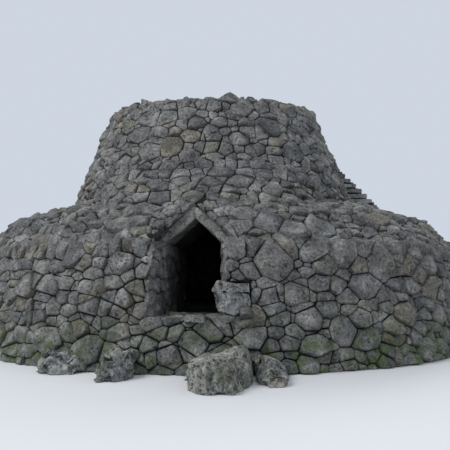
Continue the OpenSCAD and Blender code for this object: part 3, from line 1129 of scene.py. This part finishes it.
def weathered(node, cell_size, amount, material, smoothing=1, rugged=0.0, chips=0, chip=0.1,
              cuts=(), split=None, holes=0):
    """A rough body, with edges up to cell_size, for a plain solid; split parts it into two stones."""
    verts, faces, count = [], [], 0
    for side in ((0,) if split is None else (-1, 1)):
        bm = solid_mesh(node, cell_size, smoothing, split, side)
        seed = rng.uniform(0, 30)
        p = chipped(np.array([v.co[:] for v in bm.verts]), cuts, chips, chip)
        for v, co in zip(bm.verts, p):
            v.co = co
        bm.normal_update()
        n = np.array([v.normal[:] for v in bm.verts])
        p = p + n * (wobble(p + seed) * amount + wobble(p * 0.35 + seed) * amount * 1.2)[:, None]
        if rugged:
            p = p + n * ((0.35 - np.abs(wobble(p * 0.55 + seed + 7)))[:, None] * rugged)
        for _ in range(holes):
            middle = p[rng.randrange(len(p))]
            r = rng.uniform(0.025, 0.07)
            near = np.exp(-((p - middle) ** 2).sum(1) / r ** 2)
            p = p - n * (near * r * rng.uniform(0.5, 1.1))[:, None]
        p[:, 2] = np.maximum(p[:, 2], 0.0)
        verts.append(p)
        faces += [[v.index + count for v in face.verts] for face in bm.faces]
        count += len(p)
        bm.free()
    ob = new_piece(node + "_stone", np.concatenate(verts), faces, material, sharp=34)
    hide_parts(node)


def slabs_and_treads():
    # the outer slabs and the threshold take the lighter slab limestone, painted light on their faces
    for node in ("gable_slab_outer_left", "gable_slab_outer_right", "threshold_slab"):
        weathered(node, 0.045, 0.022, LIT_SLAB_STONE, smoothing=2, chips=6, chip=0.06)
    # the middle and inner slabs take the inner limestone, darkened as painted shade
    for node in ("gable_slab_middle_left", "gable_slab_middle_right", "gable_slab_inner_left",
                 "gable_slab_inner_right"):
        weathered(node, 0.08, 0.012, SHADED_INNER_STONE)
    # the treads take the lighter slab limestone too, painted light
    for node in ("stair_treads_low", "stair_treads_high"):
        weathered(node, 0.08, 0.012, LIT_SLAB_STONE)


# Planes that the block and the rocks are cut to: a point on each and its outward direction
BLOCK_FRONT = -4.95
BLOCK_SPLIT = ((0.6, -4.6, BLOCK_Z - 0.15), (0.06, 0.0, 1.0))
BLOCK_CUTS = [
    ((BLOCK_X0 + 0.1, BLOCK_FRONT, BLOCK_Z), (-0.85, -0.1, 0.5)),
    ((BLOCK_X1 - 0.05, BLOCK_FRONT, BLOCK_Z), (0.8, -0.2, 0.5)),
    ((BLOCK_X1, BLOCK_FRONT, SILL + 0.22), (0.5, -0.1, -0.86)),
    ((0.72, BLOCK_FRONT, SILL + 0.07), (-0.25, -0.1, -0.95)),
    ((BLOCK_X0 + 0.03, BLOCK_FRONT, BLOCK_Z - 0.2), (-0.95, 0.0, -0.28))]
ROCK_CUTS = {
    "foot_rock_centre": [
        ((0.6, -6.2, 0.47), (-0.3, 0.1, 1.0)), ((0.26, -6.2, 0.38), (-0.6, -0.2, 0.75)),
        ((0.12, -6.2, 0.3), (-0.9, -0.5, 0.3)), ((0.86, -6.1, 0.4), (0.9, -0.3, 0.3)),
        ((0.2, -6.3, 0.12), (-0.6, -0.5, -0.7))],
    "foot_rock_right": [((1.23, -5.8, 0.38), (0.3, 0.2, 1.0))],
    "foot_rock_left": [((-1.0, -5.5, 0.36), (-0.25, 0.15, 1.0))],
    "foot_rock_far_left": [((-1.9, -5.3, 0.4), (0.25, 0.2, 1.0))],
}


def block_and_rocks():
    """The block at the right jamb, which is two stones, and the rocks at the foot of the wall."""
    weathered("right_jamb_block", 0.03, 0.02, ROCK_STONE, smoothing=2, rugged=0.035,
              chips=2, chip=0.04, holes=30, split=BLOCK_SPLIT, cuts=BLOCK_CUTS)
    for node, cuts in ROCK_CUTS.items():
        weathered(node, 0.025, 0.03, ROCK_STONE, rugged=0.09, chips=7, holes=150,
                  cuts=cuts)


# Loose stones
def icosphere():
    """Points and faces of a round body of radius 1."""
    bm = bmesh.new()
    bmesh.ops.create_icosphere(bm, subdivisions=3, radius=1.0)
    verts = np.array([v.co[:] for v in bm.verts])
    faces = np.array([[v.index for v in face.verts] for face in bm.faces])
    bm.free()
    return verts, faces


BALL_VERTS, BALL_FACES = icosphere()
SQUARENESS = 3.2
ROCK_FACETS = 9


def rock(pile, centre, dims, turn=0.0):
    """A loose angular stone: a squared ball, cut by random planes and roughened."""
    v = BALL_VERTS / (np.abs(BALL_VERTS) ** SQUARENESS).sum(1, keepdims=True) ** (1 / SQUARENESS)
    for _ in range(ROCK_FACETS):
        m = np.array([rng.gauss(0, 1) for _ in range(3)])
        m /= np.linalg.norm(m)
        v = v - np.maximum(v @ m - rng.uniform(0.72, 1.0), 0)[:, None] * m * 0.9
    v = v * np.array(dims) * 0.5
    seed = rng.uniform(0, 50)
    v = v + v / np.linalg.norm(v, axis=1)[:, None] * (wobble(v * 1.3 + seed) * 0.05 * min(dims))[:, None]
    c, s = math.cos(turn), math.sin(turn)
    tilt_x, tilt_y = rng.uniform(-0.2, 0.2), rng.uniform(-0.2, 0.2)
    x, y, z = v.T
    turned = np.column_stack([x * c - y * s, x * s + y * c, z + x * tilt_x + y * tilt_y])
    pile.add(turned + np.array(centre), BALL_FACES)


def entrance_shelf():
    """The pile of stones before the threshold, with rocks packed round the block and the right slab."""
    pile = Pile()
    shelf = flat((0, -5.15, SILL), (1, 0, 0), BACKWARDS)
    lay(pile, field(-0.9, 0.9, height=1.3, size=0.3), shelf, shelf_planes, least=0.02, most=0.05)
    rock(pile, (BLOCK_X1 - 0.07, -4.82, SILL + 0.1), (0.22, 0.3, 0.2), 0.2)
    rock(pile, (BLOCK_X0 + 0.2, -4.85, SILL + 0.01), (0.3, 0.25, 0.14), -0.1)
    rock(pile, (0.76, -4.14, SPRING + 0.05), (0.3, 0.22, 0.13))
    rock(pile, (0.88, -4.8, SILL - 0.06), (0.22, 0.24, 0.2), 0.1)
    return pile


def crown():
    """The top of the upper wall: laid stones, a rough row on the rim, and small rubble on the roof."""
    pile = Pile(top=HEAD_Z + 0.3)
    seeds = rows(0.02, 0.62, size=0.25, radius=2.4)
    lay(pile, seeds, on_rim, crown_planes, turn=FULL_TURN, relief=0.36)
    rim_rocks, roof_rocks, roof_r = 52, 46, 1.95
    for k in range(rim_rocks):
        a = (k + rng.uniform(-0.4, 0.4)) / rim_rocks * FULL_TURN
        r = rim_r(a) - rng.uniform(0.1, 0.3)
        x, y = r * math.cos(a), r * math.sin(a)
        size = rng.uniform(0.16, 0.3)
        height = size * rng.uniform(0.45, 0.62)
        up = CROWN_H if y > 0 else 0.07 - 0.08 * fade(-y, 0.0, 2.0)
        rock(pile, (x, y, rim_z(y) + height * 0.2 + up), (size * 1.2, size, height),
             a + math.pi / 2 + rng.uniform(-0.4, 0.4))
    for _ in range(roof_rocks):
        a, r = rng.uniform(0, 6.28), roof_r * math.sqrt(rng.random())
        x, y = r * math.cos(a), r * math.sin(a)
        size = rng.uniform(0.1, 0.22)
        rock(pile, (x, y, rim_z(y) - 0.04), (size * 1.3, size, size * 0.5), rng.uniform(0, 3))
    pile.build("crown_stones", WALL_STONE, "wall_stone")


lower_wall()
terrace()
upper_wall()
doorway_packing()
stair_flank()
doorway_reveals()
passage_walls()
chamber()
rng.seed(5)
slabs_and_treads()
block_and_rocks()
shelf_pile = entrance_shelf()
crown()
# the rock at the lower end of the left slab
rock(shelf_pile, (-0.78, -4.14, SPRING + 0.03), (0.3, 0.22, 0.15))
shelf_pile.build("entrance_shelf_stones", WALL_STONE, "wall_stone")


# Floor, light and camera
def studio_floor():
    bpy.ops.mesh.primitive_plane_add(size=400, location=(0, 0, -0.002))
    floor = bpy.context.object
    floor.name = "studio_floor"
    look = Look("pale_floor", 0.9)
    look.give(look.shader.inputs["Base Color"], grey(0.72))
    floor.data.materials.append(look.material)


def studio_sky():
    world = bpy.data.worlds.new("studio")
    bpy.context.scene.world = world
    world.use_nodes = True
    background = world.node_tree.nodes["Background"]
    background.inputs["Color"].default_value = (0.82, 0.89, 1.0, 1)
    background.inputs["Strength"].default_value = 0.75


def area_light(name, place, target, energy, size):
    data = bpy.data.lights.new(name, "AREA")
    data.energy = energy
    data.size = size
    light = bpy.data.objects.new(name, data)
    light.location = place
    light.rotation_euler = (Vector(target) - Vector(place)).to_track_quat("-Z", "Y").to_euler()
    bpy.context.scene.collection.objects.link(light)


def photo_camera():
    """The camera that was fitted to the photo."""
    data = bpy.data.cameras.new("photo_camera")
    data.lens = 37.6
    data.sensor_width = 36
    pitch, heading = 6.43, 3.26
    camera = bpy.data.objects.new("photo_camera", data)
    camera.location = (0.958, -11.965, 1.4)
    camera.rotation_euler = (math.radians(90 + pitch), 0, math.radians(heading))
    bpy.context.scene.collection.objects.link(camera)
    bpy.context.scene.camera = camera


studio_floor()
studio_sky()
area_light("soft_key", place=(-12, -14, 17), target=(0, 0, 2), energy=2600, size=9)
area_light("soft_back", place=(10, 14, 16), target=(0, 0, 3), energy=2200, size=10)
photo_camera()
bpy.context.scene.view_settings.view_transform = "Standard"
